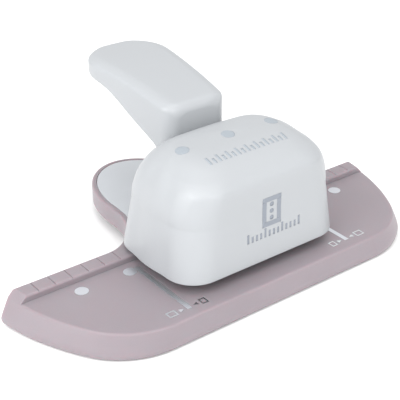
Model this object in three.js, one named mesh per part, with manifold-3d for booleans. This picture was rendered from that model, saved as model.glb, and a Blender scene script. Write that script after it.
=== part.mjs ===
// Three-hole punch for planner pages: a flat base with a fence, a punching head over the hole row, and a
// long lever that reaches back over the base's tail. Millimetres, +Z up, +X to the right, +Y to the back.
// Every piece is drawn from the hole row (x = 0 at the middle hole, y = 0 on the row, z = 0 on the table),
// and the whole group is then moved so that its origin is the middle of the footprint.

import * as THREE from 'three';
import { mergeVertices } from 'three/addons/utils/BufferGeometryUtils.js';
import Module from 'manifold-3d';

// ---------------------------------------------------------------------------------------------------------
// Driving dimensions
// ---------------------------------------------------------------------------------------------------------

// Hole pattern and footprint
const HOLE_PITCH = 19.05;
const HOLE_DIAMETER = 5.5;
const HOLE_X = [-HOLE_PITCH, 0, HOLE_PITCH];
const FRONT_FROM_ROW = 34.85;
const TAIL_FROM_ROW = 69.15;
const ROW_Y = (FRONT_FROM_ROW - TAIL_FROM_ROW) / 2;

// Heights above the table
const SKIRT_Z = 0.5;
const BULGE_Z = 3;
const CAVITY_Z = 6.9;
const BED_Z = 9.4;
const FENCE_Z = 11.9;
const TAIL_SKIRT_Z = 4.9;
const HEAD_BOTTOM_Z = 13.5;

// Base outline, right half: a straight front, a corner arc, a flatter end arc, the fence's back, the neck
const FRONT_Y = -33.7;
const CORNER_X = 43;
const CORNER_R = 27.4;
const CORNER_SWEEP = THREE.MathUtils.degToRad(57.8);
const END_R = 81;
const FENCE_BACK_Y = 11.7;
const FENCE_Y = 5.2;
const FENCE_EDGE_R = 1;
const NECK_X = 39;
const TAIL_HALF = 21.4;
const TAIL_ARC_Y = 39;
const WALL = 2.2;

// How far the base's skirt stands out of the outline at its widest
const END_FLARE = 3.5;
const FRONT_FLARE = FRONT_FROM_ROW + FRONT_Y;
const BACK_FLARE = -0.7;
const BOTTOM_TUCK = 1;
const FENCE_END_INSET = 2.6;

// Scale grooves across the top of the fence, a third of a hole pitch apart
const GROOVE_PITCH = HOLE_PITCH / 3;
const GROOVE_FIRST = 6;
const GROOVE_LAST = 11;
const GROOVE_HALF_WIDTH = 0.25;
const GROOVE_DEPTH = 0.5;

// Working clearances
const GAP = 0.3;
const SLIDE_GAP = 0.2;

// Chip well under the die, and the lid that slides back from under it
const WELL = { halfX: 29.4, front: -20, back: 12.6 };
const WELL_BACK_WALL = 14.5;
const LID_CHANNEL = { halfX: 31.3, bottom: 1.5, top: 3.3 };
const LID_BACK = 18;
const LID_THICKNESS = 1;

// Pad let into the top of the tail
const PAD = { rim: 2, front: 22, bottom: 10.7, steps: 10 };

// Head cover: a rounded box with a drafted wall and a quarter-ellipse shoulder, whose front rises nearly
// straight to a soft ridge and slopes back from there to a narrow crown
const HEAD = {
  halfWidth: 34.6, front: -27.35, rear: 16.65, cornerR: 11,
  sideDraft: 1.9, frontDraft: 0.87, rearDraft: 2.05, cornerGrowth: 1.55,
  shoulderZ: 31.95, shoulderRise: 19.3, sideShoulder: 15.1, frontShoulder: 19.7, rearShoulder: 11.4,
  ridge: 0.2, ridgeEase: 0.06, crownCorner: 0.46, dome: 0.4, bow: 0.8,
};
const HEAD_WALL = 2.2;
const HEAD_BOSS = { r: 3.4, top: 30, ribHalf: 1, ribDrop: 3, holeDrop: 2 };
const HEAD_SLOT = { halfX: 13, bottom: 17, top: 45, cornerR: 2 };

// Lever: pivot ahead of the row, pressing nose over the row, handle behind the head
const PIVOT = { y: -13, z: 31 };
const LEVER_ANGLE = 0.415;
const NOSE_ARM = 13;
const NOSE_R = 3.2;
const PUNCH_TRAVEL = 2 * NOSE_ARM * Math.sin(LEVER_ANGLE / 2);
const NOSE = {
  y: PIVOT.y + NOSE_ARM * Math.cos(LEVER_ANGLE / 2),
  z: PIVOT.z + PUNCH_TRAVEL / 2,
};
const PIVOT_PIN_R = 2;
const PIVOT_PIN_HALF = 29.5;
const HUB_R = 4.6;
const HUB_HALF = 24.5;
const ARM_HALF = 6.8;
const HANDLE_FRONT_Y = 12.9;
const HANDLE_BACK_Y = 69.1;
const HANDLE_FRONT_HALF = 12.35;
const HANDLE_BACK_HALF = 15.9;
const HANDLE_WALL = 2.2;
const HANDLE_RIB_Y = 42;

// Press bar, punches and springs
const BAR = { halfX: 24, halfY: 4, top: NOSE.z - NOSE_R - GAP, thickness: 3 };
const BAR_BOTTOM = BAR.top - BAR.thickness;
const PUNCH_REST_Z = 12.5;
const PUNCH_FLANGE_R = 4.2;
const PUNCH_FLANGE_THICKNESS = 2;
const PUNCH_STUD_R = 1.5;
const SPRING_R = 3.45;
const SPRING_WIRE_R = 0.35;
const SPRING_TURNS = 5;
const SPRING_STEPS = 9;

// Punch frame and die
const GUIDE = { halfX: 27.5, front: -8, back: 12.4, bottom: FENCE_Z + GAP, thickness: 1.5 };
const GUIDE_TOP = GUIDE.bottom + GUIDE.thickness;
const CHEEK_THICKNESS = 1.5;
const DIE = { halfX: 28.7, front: -10, back: 4.3, thickness: 1.2 };
const SCREW_Y = 9.4;
const HEAD_SCREW_X = 21;
const FRAME_SCREW_X = 9;
const SCREW_SHANK_R = 1.4;
const SCREW_HEAD_R = 2.8;
const SCREW_HEAD_THICKNESS = 1.7;
const SCREW_SEATING = 0.05;
const SCREW_HOLE_R = 1.75;
const DIE_SCREW = { x: 25.4, y: -7, headR: 2.4, shankR: 1.2 };
const HANDLE_SCREWS = {
  handle_screw_front: { y: 24, seat: 49.9, boss: 53.8, tip: 57.4 },
  handle_screw_rear: { y: 32, seat: 53.3, boss: 56.4, tip: 58.6 },
};

// Feet: x and y of each, and the tail foot
const FOOT = { r: 4.5, height: 1.8, postR: 5.5 };
const FEET = {
  foot_front_left: [-52, -21],
  foot_front_right: [52, -21],
  foot_rear_left: [-68, 3],
  foot_rear_right: [68, 3],
};
const TAIL_FOOT = { y: 58, r: 6, postR: 7 };

const ROUND = 20;

// ---------------------------------------------------------------------------------------------------------
// Solid modelling helpers
// ---------------------------------------------------------------------------------------------------------

const wasm = await Module();
wasm.setup();

function solid(geometry) {
  geometry.deleteAttribute('normal');
  geometry.deleteAttribute('uv');
  const merged = mergeVertices(geometry, 1e-4);
  return new wasm.Manifold(new wasm.Mesh({
    numProp: 3,
    vertProperties: new Float32Array(merged.attributes.position.array),
    triVerts: new Uint32Array(merged.index.array),
  }));
}

function geometryOf(manifold) {
  const mesh = manifold.getMesh();
  const geometry = new THREE.BufferGeometry();
  geometry.setAttribute('position', new THREE.BufferAttribute(new Float32Array(mesh.vertProperties), 3));
  geometry.setIndex(new THREE.BufferAttribute(new Uint32Array(mesh.triVerts), 1));
  return geometry;
}

function box(x0, x1, y0, y1, z0, z1) {
  const geometry = new THREE.BoxGeometry(x1 - x0, y1 - y0, z1 - z0);
  geometry.translate((x0 + x1) / 2, (y0 + y1) / 2, (z0 + z1) / 2);
  return solid(geometry);
}

function cylinderZ(x, y, r, z0, z1, sides = ROUND) {
  const geometry = new THREE.CylinderGeometry(r, r, z1 - z0, sides);
  geometry.rotateX(Math.PI / 2);
  geometry.translate(x, y, (z0 + z1) / 2);
  return solid(geometry);
}

function cylinderX(y, z, r, x0, x1, sides = ROUND) {
  const geometry = new THREE.CylinderGeometry(r, r, x1 - x0, sides);
  geometry.rotateZ(Math.PI / 2);
  geometry.translate((x0 + x1) / 2, y, z);
  return solid(geometry);
}

// A shape in x and y, pulled up from z0 to z1
function prismZ(shape, z0, z1, curveSegments = 12) {
  const geometry = new THREE.ExtrudeGeometry(shape, { depth: z1 - z0, bevelEnabled: false, curveSegments });
  geometry.translate(0, 0, z0);
  return solid(geometry);
}

// A side view in y and z, pulled along x from x0 to x1
function prismX(shape, x0, x1, curveSegments = 12) {
  const geometry = new THREE.ExtrudeGeometry(shape, { depth: x1 - x0, bevelEnabled: false, curveSegments });
  geometry.rotateY(Math.PI / 2);
  geometry.rotateX(Math.PI / 2);
  geometry.translate(x0, 0, 0);
  return solid(geometry);
}

// A front view in x and z, pulled along y from y0 to y1
function prismY(shape, y0, y1, curveSegments = 12) {
  const geometry = new THREE.ExtrudeGeometry(shape, { depth: y1 - y0, bevelEnabled: false, curveSegments });
  geometry.rotateX(Math.PI / 2);
  geometry.translate(0, y1, 0);
  return solid(geometry);
}

function polygon(points) {
  return new THREE.Shape(points.map(([a, b]) => new THREE.Vector2(a, b)));
}

// A skin over rings of equal point count, lowest first, each counter-clockwise from above, capped flat
function loft(rings) {
  const count = rings[0].length;
  const positions = rings.flat().flatMap((p) => [p.x, p.y, p.z]);
  const index = [];
  for (let level = 0; level + 1 < rings.length; level += 1) {
    for (let i = 0; i < count; i += 1) {
      const a = level * count + i;
      const b = level * count + (i + 1) % count;
      index.push(a, b, b + count, a, b + count, a + count);
    }
  }
  const flat = (ring) => ring.map((p) => new THREE.Vector2(p.x, p.y));
  const last = (rings.length - 1) * count;
  THREE.ShapeUtils.triangulateShape(flat(rings[0]), []).forEach(([a, b, c]) => index.push(a, c, b));
  THREE.ShapeUtils.triangulateShape(flat(rings.at(-1)), [])
    .forEach(([a, b, c]) => index.push(last + a, last + b, last + c));
  const geometry = new THREE.BufferGeometry();
  geometry.setAttribute('position', new THREE.Float32BufferAttribute(positions, 3));
  geometry.setIndex(index);
  return solid(geometry);
}

// A turned piece: its outline in radius and height, closed on the axis, standing at x, y
function turned(points, x = 0, y = 0, sides = ROUND) {
  const geometry = new THREE.LatheGeometry(points.map(([r, z]) => new THREE.Vector2(r, z)), sides);
  geometry.rotateX(Math.PI / 2);
  geometry.translate(x, y, 0);
  return solid(geometry);
}

const mirrored = (values) => values.flatMap((value) => [-value, value]);

// ---------------------------------------------------------------------------------------------------------
// Materials
// ---------------------------------------------------------------------------------------------------------

const FINISH = {
  basePlastic: { color: 0xb9acb1, roughness: 0.45, metalness: 0 },
  coverPlastic: { color: 0xdadfe3, roughness: 0.25, metalness: 0 },
  padPlastic: { color: 0xcfd3d8, roughness: 0.55, metalness: 0 },
  lidPlastic: { color: 0xd9dadd, roughness: 0.5, metalness: 0 },
  steel: { color: 0xb4b7ba, roughness: 0.35, metalness: 1 },
  zincPlate: { color: 0xc2c4c2, roughness: 0.4, metalness: 1 },
  springWire: { color: 0xa5a8ab, roughness: 0.3, metalness: 1 },
  rubber: { color: 0x4a4648, roughness: 0.9, metalness: 0 },
};

const part = new THREE.Group();
part.position.y = ROW_Y;

function add(name, finish, manifold) {
  const mesh = new THREE.Mesh(geometryOf(manifold), new THREE.MeshStandardMaterial(FINISH[finish]));
  mesh.name = name;
  part.add(mesh);
}

// ---------------------------------------------------------------------------------------------------------
// Base
// ---------------------------------------------------------------------------------------------------------

// Right half of the base outline, from the middle of the front edge to the tip of the tail
function baseHalf() {
  const corner = new THREE.Vector2(CORNER_X, FRONT_Y + CORNER_R);
  const turn = -Math.PI / 2 + CORNER_SWEEP;
  const join = new THREE.Vector2(Math.cos(turn), Math.sin(turn));
  const end = corner.clone().addScaledVector(join, CORNER_R - END_R);
  const endTurn = Math.asin((FENCE_BACK_Y - end.y) / END_R);

  const wing = new THREE.Path();
  wing.moveTo(CORNER_X, FRONT_Y);
  wing.absarc(corner.x, corner.y, CORNER_R, -Math.PI / 2, turn, false);
  wing.absarc(end.x, end.y, END_R, turn, endTurn, false);
  const tail = new THREE.Path();
  tail.moveTo(NECK_X, FENCE_BACK_Y);
  tail.bezierCurveTo(31.5, FENCE_BACK_Y, 23, 21, TAIL_HALF + 0.4, 31);
  tail.lineTo(TAIL_HALF, TAIL_ARC_Y);
  tail.absellipse(0, TAIL_ARC_Y, TAIL_HALF, TAIL_FROM_ROW - TAIL_ARC_Y, 0, Math.PI / 2, false, 0);
  return { wing: wing.getPoints(9), tail: tail.getPoints(10) };
}

const HALF = baseHalf();
const HALF_LENGTH = HALF.wing.at(-1).x;
const WAIST_Y = -10;

// One ring of the base at height z, with each stretch of the outline moved out by its own amount
function baseRing(z, { end, front, back, tail }) {
  const wing = HALF.wing.map((p) => {
    const depth = p.y < WAIST_Y
      ? -front * (WAIST_Y - p.y) / (WAIST_Y - FRONT_Y)
      : back * (p.y - WAIST_Y) / (FENCE_BACK_Y - WAIST_Y);
    return new THREE.Vector3(p.x + end * p.x / HALF_LENGTH, p.y + depth, z);
  });
  const neckRun = TAIL_ARC_Y - FENCE_BACK_Y;
  const rear = HALF.tail.map((p) => {
    const share = THREE.MathUtils.clamp((p.y - FENCE_BACK_Y) / neckRun, 0, 1);
    const outX = p.x * (1 + share * tail / TAIL_HALF);
    const outY = p.y > TAIL_ARC_Y
      ? TAIL_ARC_Y + (p.y - TAIL_ARC_Y) * (1 + tail / (TAIL_FROM_ROW - TAIL_ARC_Y))
      : p.y + (1 - share) * back;
    return new THREE.Vector3(outX, outY, z);
  });
  const right = [...wing, ...rear];
  const left = right.slice(0, -1).reverse().map((p) => new THREE.Vector3(-p.x, p.y, z));
  return [...right, ...left];
}

const FLARED = { end: END_FLARE, front: FRONT_FLARE, back: BACK_FLARE, tail: 0 };
const shifted = (by, from = FLARED) => ({
  end: from.end + by, front: from.front + by, back: from.back + by, tail: from.tail + by,
});
const FLUSH = { end: 0, front: 0, back: 0, tail: 0 };

function baseOuter() {
  const fenceTop = { end: -FENCE_END_INSET, front: 0, back: -0.5, tail: -0.6 };
  return loft([
    baseRing(SKIRT_Z, shifted(-BOTTOM_TUCK)),
    baseRing(BULGE_Z, FLARED),
    baseRing(BED_Z, FLUSH),
    baseRing(FENCE_Z - 0.6, { ...fenceTop, end: -FENCE_END_INSET * 0.76, back: -0.1, tail: -0.1 }),
    baseRing(FENCE_Z, fenceTop),
  ]);
}

// Everything above the paper bed, ahead of the fence, with the fence's rounded top edge
function bedCut() {
  const shape = new THREE.Shape();
  shape.moveTo(-50, BED_Z);
  shape.lineTo(FENCE_Y, BED_Z);
  shape.lineTo(FENCE_Y, FENCE_Z - FENCE_EDGE_R);
  shape.absarc(FENCE_Y + FENCE_EDGE_R, FENCE_Z - FENCE_EDGE_R, FENCE_EDGE_R, Math.PI, Math.PI / 2, true);
  shape.lineTo(FENCE_Y + FENCE_EDGE_R, FENCE_Z + 1);
  shape.lineTo(-50, FENCE_Z + 1);
  return prismX(shape, -90, 90, 3);
}

function cutGrooves(shell) {
  let result = shell;
  for (let k = GROOVE_FIRST; k <= GROOVE_LAST; k += 1) {
    for (const x of mirrored([k * GROOVE_PITCH])) {
      const groove = polygon([
        [x, FENCE_Z - GROOVE_DEPTH],
        [x + 2 * GROOVE_HALF_WIDTH, FENCE_Z + GROOVE_DEPTH],
        [x - 2 * GROOVE_HALF_WIDTH, FENCE_Z + GROOVE_DEPTH],
      ]);
      result = result.subtract(prismY(groove, FENCE_Y - 1, FENCE_BACK_Y + 2));
    }
  }
  return result;
}

// The open underside: two wing cavities and the hollow under the tail
function underside() {
  const cavity = loft([
    baseRing(-1, shifted(-BOTTOM_TUCK - WALL)),
    baseRing(BULGE_Z, shifted(-WALL)),
    baseRing(CAVITY_Z, shifted(-WALL, { end: 1.4, front: 0.5, back: 0, tail: 0 })),
  ]);
  const wellRib = box(-LID_CHANNEL.halfX - WALL, LID_CHANNEL.halfX + WALL, -50, WELL_BACK_WALL, -2, 20);
  const neckWall = box(-NECK_X - 6, NECK_X + 6, FENCE_BACK_Y - WALL, WELL_BACK_WALL, -2, 20);
  return cavity.subtract(wellRib).subtract(neckWall);
}

// The chip well, and the grooved channel that the lid slides in
function chipWell() {
  const well = box(-WELL.halfX, WELL.halfX, WELL.front, WELL.back, -1, CAVITY_Z);
  const mouth = box(-WELL.halfX, WELL.halfX, WELL.front, WELL_BACK_WALL + 4, -1, LID_CHANNEL.top);
  const channel = box(
    -LID_CHANNEL.halfX, LID_CHANNEL.halfX, WELL.front - GAP, WELL_BACK_WALL + 4,
    LID_CHANNEL.bottom, LID_CHANNEL.top,
  );
  return well.add(mouth).add(channel);
}

function tailPadShape(inset, front) {
  const half = TAIL_HALF - inset;
  const reach = TAIL_FROM_ROW - TAIL_ARC_Y - inset;
  const corner = 3;
  const side = half + 1.4;
  const shape = new THREE.Shape();
  shape.moveTo(-side + corner, front);
  shape.lineTo(side - corner, front);
  shape.quadraticCurveTo(side, front, side, front + corner);
  shape.quadraticCurveTo(half, 31, half, TAIL_ARC_Y);
  shape.absellipse(0, TAIL_ARC_Y, half, reach, 0, Math.PI, false, 0);
  shape.quadraticCurveTo(-half, 31, -side, front + corner);
  shape.quadraticCurveTo(-side, front, -side + corner, front);
  return shape;
}

function baseShell() {
  let shell = baseOuter().subtract(bedCut());
  shell = cutGrooves(shell);
  shell = shell.subtract(box(-60, 60, WELL_BACK_WALL, 90, -1, TAIL_SKIRT_Z));
  shell = shell.subtract(underside()).subtract(chipWell());
  shell = shell.subtract(prismZ(tailPadShape(PAD.rim - GAP, PAD.front - GAP), PAD.bottom - GAP, 20, PAD.steps));
  shell = shell.subtract(box(
    -DIE.halfX - GAP, DIE.halfX + GAP, DIE.front - GAP, DIE.back + GAP,
    BED_Z - DIE.thickness - GAP, BED_Z + 1,
  ));
  for (const x of HOLE_X) {
    shell = shell.subtract(cylinderZ(x, 0, HOLE_DIAMETER / 2 + 1, CAVITY_Z - 1, BED_Z));
  }
  for (const x of mirrored([HEAD_SCREW_X, FRAME_SCREW_X])) {
    shell = shell.subtract(cylinderZ(x, SCREW_Y, SCREW_HOLE_R, CAVITY_Z - 1, FENCE_Z + 1));
  }
  for (const x of mirrored([DIE_SCREW.x])) {
    shell = shell.subtract(cylinderZ(x, DIE_SCREW.y, DIE_SCREW.shankR + GAP, CAVITY_Z - 1, BED_Z));
  }
  for (const [x, y] of Object.values(FEET)) {
    shell = shell.add(cylinderZ(x, y, FOOT.postR, FOOT.height + GAP, CAVITY_Z + 0.5));
  }
  return shell.add(cylinderZ(0, TAIL_FOOT.y, TAIL_FOOT.postR, FOOT.height + GAP, CAVITY_Z + 0.5));
}

function diePlate() {
  let plate = box(-DIE.halfX, DIE.halfX, DIE.front, DIE.back, BED_Z - DIE.thickness, BED_Z);
  for (const x of HOLE_X) {
    plate = plate.subtract(cylinderZ(x, 0, HOLE_DIAMETER / 2 + SLIDE_GAP, 0, 20));
  }
  for (const x of mirrored([DIE_SCREW.x])) {
    plate = plate.subtract(cylinderZ(x, DIE_SCREW.y, DIE_SCREW.headR + GAP, 0, 20));
  }
  return plate;
}

function chipLid() {
  const bottom = LID_CHANNEL.bottom + GAP;
  const top = bottom + LID_THICKNESS;
  const plate = box(-LID_CHANNEL.halfX + GAP, LID_CHANNEL.halfX - GAP, WELL.front, LID_BACK, bottom, top);
  const grip = box(-12, 12, LID_BACK - 2.5, LID_BACK, bottom - 1, bottom + 0.1);
  return plate.add(grip);
}

// ---------------------------------------------------------------------------------------------------------
// Head: punch frame, cover, press bar, punches, springs
// ---------------------------------------------------------------------------------------------------------

function cheekShape() {
  const shape = new THREE.Shape();
  shape.moveTo(8, GUIDE.bottom);
  shape.lineTo(8, 18);
  shape.lineTo(2, 23);
  shape.lineTo(PIVOT.y + 4, PIVOT.z + 3);
  shape.absarc(PIVOT.y, PIVOT.z, 5, 0.64, Math.PI + 0.2, false);
  shape.lineTo(PIVOT.y - 3, 22);
  shape.lineTo(GUIDE.front, GUIDE.bottom);
  return shape;
}

function punchFrame() {
  const { halfX, front, back, bottom } = GUIDE;
  let frame = box(-halfX, halfX, front, back, bottom, GUIDE_TOP);
  frame = frame.add(prismX(cheekShape(), halfX - CHEEK_THICKNESS, halfX, 8));
  frame = frame.add(prismX(cheekShape(), -halfX, -halfX + CHEEK_THICKNESS, 8));
  for (const x of HOLE_X) {
    frame = frame.subtract(cylinderZ(x, 0, HOLE_DIAMETER / 2 + SLIDE_GAP, 0, 20));
  }
  for (const x of mirrored([HEAD_SCREW_X, FRAME_SCREW_X])) {
    frame = frame.subtract(cylinderZ(x, SCREW_Y, SCREW_HOLE_R, 0, 20));
  }
  return frame.subtract(cylinderX(PIVOT.y, PIVOT.z, PIVOT_PIN_R + GAP, -40, 40));
}

// A rounded rectangle with slightly bowed sides, counter-clockwise from above
function headRing(z, halfWidth, front, rear, radius, bow) {
  const steps = 6;
  const middle = (front + rear) / 2;
  const ring = [];
  const corners = [[1, -1, -90], [1, 1, 0], [-1, 1, 90], [-1, -1, 180]];
  for (const [sx, sy, start] of corners) {
    const centreX = sx * (halfWidth - radius);
    const centreY = sy > 0 ? rear - radius : front + radius;
    for (let i = 0; i <= steps; i += 1) {
      const angle = THREE.MathUtils.degToRad(start + 90 * i / steps);
      ring.push(new THREE.Vector3(centreX + radius * Math.cos(angle), centreY + radius * Math.sin(angle), z));
    }
    if (sx === 1 && sy === -1) ring.push(new THREE.Vector3(halfWidth + bow, middle, z));
    if (sx === 1 && sy === 1) ring.push(new THREE.Vector3(0, rear + bow, z));
    if (sx === -1 && sy === 1) ring.push(new THREE.Vector3(-halfWidth - bow, middle, z));
    if (sx === -1 && sy === -1) ring.push(new THREE.Vector3(0, front, z));
  }
  return ring;
}

// How far the head's front has gone back, from 0 at the shoulder to 1 at the crown: it turns back at the ridge
function roofRun(c) {
  const eased = (share) => {
    const v = (share - HEAD.ridge) / (1 - HEAD.ridge);
    return (v + Math.hypot(v, HEAD.ridgeEase)) / 2;
  };
  return (eased(c) - eased(0)) / (eased(1) - eased(0));
}

// The head's skin moved in by a wall thickness, from a starting height up to its crown
function headBody(startZ, inset) {
  const h = HEAD;
  const rise = h.shoulderRise - inset;
  const widest = h.cornerR + h.cornerGrowth - inset * 0.8;
  const crownFront = h.front + h.frontDraft + h.frontShoulder;
  const crownRear = h.rear - h.rearDraft - h.rearShoulder;
  const crownR = h.crownCorner * (crownRear - crownFront);
  const rings = [];
  for (let i = 0; i <= 2; i += 1) {
    const t = i / 2;
    rings.push(headRing(
      startZ + (h.shoulderZ - startZ) * t,
      h.halfWidth - h.sideDraft * t - inset,
      h.front + h.frontDraft * t + inset,
      h.rear - h.rearDraft * t - inset,
      h.cornerR + h.cornerGrowth * t - inset * 0.8,
      h.bow,
    ));
  }
  const shoulderSteps = 14;
  for (let i = 1; i <= shoulderSteps; i += 1) {
    const angle = Math.PI / 2 * i / shoulderSteps;
    const c = 1 - Math.cos(angle);
    rings.push(headRing(
      h.shoulderZ + rise * Math.sin(angle),
      h.halfWidth - h.sideDraft - (h.sideShoulder - inset) * c - inset,
      h.front + h.frontDraft + (h.frontShoulder - inset) * roofRun(c) + inset,
      h.rear - h.rearDraft - (h.rearShoulder - inset) * c - inset,
      widest + (crownR - widest) * c * c,
      h.bow * (1 - c / 2),
    ));
  }
  const edge = rings.at(-1);
  const middle = (crownFront + crownRear) / 2;
  const crown = (share, lift) => edge.map((p) => new THREE.Vector3(
    p.x * share, middle + (p.y - middle) * share, p.z + lift * h.dome,
  ));
  rings.push(crown(0.6, 0.7), crown(0.15, 1));
  return loft(rings);
}

function headCover() {
  let cover = headBody(HEAD_BOTTOM_Z, 0).subtract(headBody(HEAD_BOTTOM_Z - 1, HEAD_WALL));
  const { r, top: bossTop, ribHalf, ribDrop, holeDrop } = HEAD_BOSS;
  const bossBottom = GUIDE_TOP + GAP;
  const ribBack = HEAD.rear - HEAD_WALL + 0.5;
  for (const side of [-1, 1]) {
    const x = side * HEAD_SCREW_X;
    const boss = cylinderZ(x, SCREW_Y, r, bossBottom, bossTop);
    const rib = box(x - ribHalf, x + ribHalf, SCREW_Y, ribBack, bossBottom, bossTop - ribDrop);
    cover = cover.add(boss.add(rib));
    cover = cover.subtract(cylinderZ(x, SCREW_Y, SCREW_HOLE_R, bossBottom - 1, bossTop - holeDrop));
  }
  const { halfX, bottom, top, cornerR } = HEAD_SLOT;
  const slot = new THREE.Shape();
  slot.moveTo(-halfX + cornerR, bottom);
  slot.lineTo(halfX - cornerR, bottom);
  slot.absarc(halfX - cornerR, bottom + cornerR, cornerR, -Math.PI / 2, 0, false);
  slot.absarc(halfX - cornerR, top - cornerR, cornerR, 0, Math.PI / 2, false);
  slot.absarc(-halfX + cornerR, top - cornerR, cornerR, Math.PI / 2, Math.PI, false);
  slot.absarc(-halfX + cornerR, bottom + cornerR, cornerR, Math.PI, Math.PI * 1.5, false);
  return cover.subtract(prismY(slot, 4, 30, 4));
}

function pressBar() {
  const { halfX, halfY, top } = BAR;
  let bar = box(-halfX, halfX, -halfY, halfY, BAR_BOTTOM, top);
  for (const x of HOLE_X) {
    bar = bar.subtract(cylinderZ(x, 0, PUNCH_STUD_R + GAP, 0, 40, 16));
  }
  return bar;
}

// A punch pin with a hollow-ground cutting end, a spring flange, and a stud that locates in the press bar
function punch(x) {
  const r = HOLE_DIAMETER / 2;
  const flangeTop = BAR_BOTTOM - GAP;
  const flangeBottom = flangeTop - PUNCH_FLANGE_THICKNESS;
  return turned([
    [0, PUNCH_REST_Z + 0.9],
    [r, PUNCH_REST_Z],
    [r, flangeBottom],
    [PUNCH_FLANGE_R, flangeBottom],
    [PUNCH_FLANGE_R, flangeTop],
    [PUNCH_STUD_R, flangeTop],
    [PUNCH_STUD_R, BAR.top - 0.8],
    [0, BAR.top - 0.8],
  ], x, 0, 20);
}

class Helix extends THREE.Curve {
  constructor(radius, turns, bottom, height) {
    super();
    Object.assign(this, { radius, turns, bottom, height });
  }

  getPoint(t, target = new THREE.Vector3()) {
    const angle = 2 * Math.PI * this.turns * t;
    return target.set(
      this.radius * Math.cos(angle), this.radius * Math.sin(angle), this.bottom + this.height * t,
    );
  }
}

function returnSpring(x) {
  const bottom = GUIDE_TOP + GAP + SPRING_WIRE_R;
  const top = BAR_BOTTOM - GAP - PUNCH_FLANGE_THICKNESS - GAP - SPRING_WIRE_R;
  const wire = new THREE.Shape();
  wire.moveTo(SPRING_WIRE_R, 0);
  wire.lineTo(0, SPRING_WIRE_R);
  wire.lineTo(-SPRING_WIRE_R, 0);
  wire.lineTo(0, -SPRING_WIRE_R);
  const geometry = new THREE.ExtrudeGeometry(wire, {
    extrudePath: new Helix(SPRING_R, SPRING_TURNS, bottom, top - bottom),
    steps: SPRING_TURNS * SPRING_STEPS,
    bevelEnabled: false,
  });
  geometry.translate(x, 0, 0);
  return solid(geometry);
}

function pivotPin() {
  return cylinderX(PIVOT.y, PIVOT.z, PIVOT_PIN_R, -PIVOT_PIN_HALF, PIVOT_PIN_HALF);
}

function pivotClip(side) {
  const inner = side * (GUIDE.halfX + GAP);
  const outer = side * (GUIDE.halfX + GAP + 0.7);
  const [x0, x1] = [Math.min(inner, outer), Math.max(inner, outer)];
  const bore = cylinderX(PIVOT.y, PIVOT.z, PIVOT_PIN_R + 0.25, x0 - 1, x1 + 1, 16);
  return cylinderX(PIVOT.y, PIVOT.z, 3.8, x0, x1, 16).subtract(bore);
}

// ---------------------------------------------------------------------------------------------------------
// Lever
// ---------------------------------------------------------------------------------------------------------

// Side view of the handle: a wedge that reaches back from the head, and a limb that drops into its slot
function handleSide() {
  const shape = new THREE.Shape();
  shape.moveTo(HANDLE_FRONT_Y, 30.6);
  shape.lineTo(HANDLE_FRONT_Y, 54.6);
  shape.quadraticCurveTo(HANDLE_FRONT_Y, 57, 15.8, 57.4);
  shape.bezierCurveTo(32, 61, 48, 62.1, 60, 62.1);
  shape.bezierCurveTo(66, 62.1, HANDLE_BACK_Y + 0.3, 61.4, HANDLE_BACK_Y + 0.3, 59.3);
  shape.bezierCurveTo(HANDLE_BACK_Y + 0.3, 57.4, 66, 57.2, 60, 56.9);
  shape.bezierCurveTo(48, 56.3, 46, 54.4, 36.8, 49.9);
  shape.lineTo(21.5, 42.5);
  shape.quadraticCurveTo(17.6, 40.6, 17.6, 36.5);
  shape.lineTo(17.6, 32.6);
  shape.quadraticCurveTo(17.6, 30.6, 15.6, 30.6);
  return shape;
}

function handlePlan(inset) {
  const front = HANDLE_FRONT_Y + inset;
  const frontHalf = HANDLE_FRONT_HALF - inset;
  const backHalf = HANDLE_BACK_HALF - inset;
  const back = HANDLE_BACK_Y - inset;
  const corner = 3;
  const shape = new THREE.Shape();
  shape.moveTo(-frontHalf + corner, front);
  shape.lineTo(frontHalf - corner, front);
  shape.quadraticCurveTo(frontHalf, front, frontHalf + 0.2, front + corner);
  shape.lineTo(backHalf, 54);
  shape.bezierCurveTo(backHalf + 1, 63.5 - inset, 10, back, 0, back);
  shape.bezierCurveTo(-10, back, -backHalf - 1, 63.5 - inset, -backHalf, 54);
  shape.lineTo(-frontHalf - 0.2, front + corner);
  shape.quadraticCurveTo(-frontHalf, front, -frontHalf + corner, front);
  return shape;
}

// Side view of the hollow inside the handle, open below the diagonal, and ahead of the limb's foot
function handleHollow() {
  return polygon([
    [11, 32.8], [11, 45.4], [HANDLE_FRONT_Y + HANDLE_WALL, 45.4], [15.1, 53.4], [16.6, 55.2],
    [34, 58.2], [48, 59.5], [60, 59.9], [66, 59.6], [67.5, 58.8], [67.5, 50],
    [40, 36], [22.8, 36], [22.8, 45], [20, 45], [15.4, 41], [15.4, 32.8],
  ]);
}

function leverHandle() {
  const outer = prismX(handleSide(), -20, 20, 8).intersect(prismZ(handlePlan(0), 20, 70, 8));
  const inside = prismX(handleHollow(), -20, 20).intersect(prismZ(handlePlan(HANDLE_WALL), 20, 70, 8)
    .add(box(-ARM_HALF - GAP, ARM_HALF + GAP, 8, 16, 32.8, 45.4)));
  let handle = outer.subtract(inside);
  const rib = box(-20, 20, HANDLE_RIB_Y, HANDLE_RIB_Y + 1.6, 55.5, 61).intersect(outer);
  handle = handle.add(rib);
  for (const { y, boss, tip } of Object.values(HANDLE_SCREWS)) {
    handle = handle.add(cylinderZ(0, y, 3.4, boss, 59, 16).intersect(outer));
    handle = handle.subtract(cylinderZ(0, y, SCREW_HOLE_R, boss - 1, tip + GAP, 16));
  }
  return handle;
}

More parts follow.
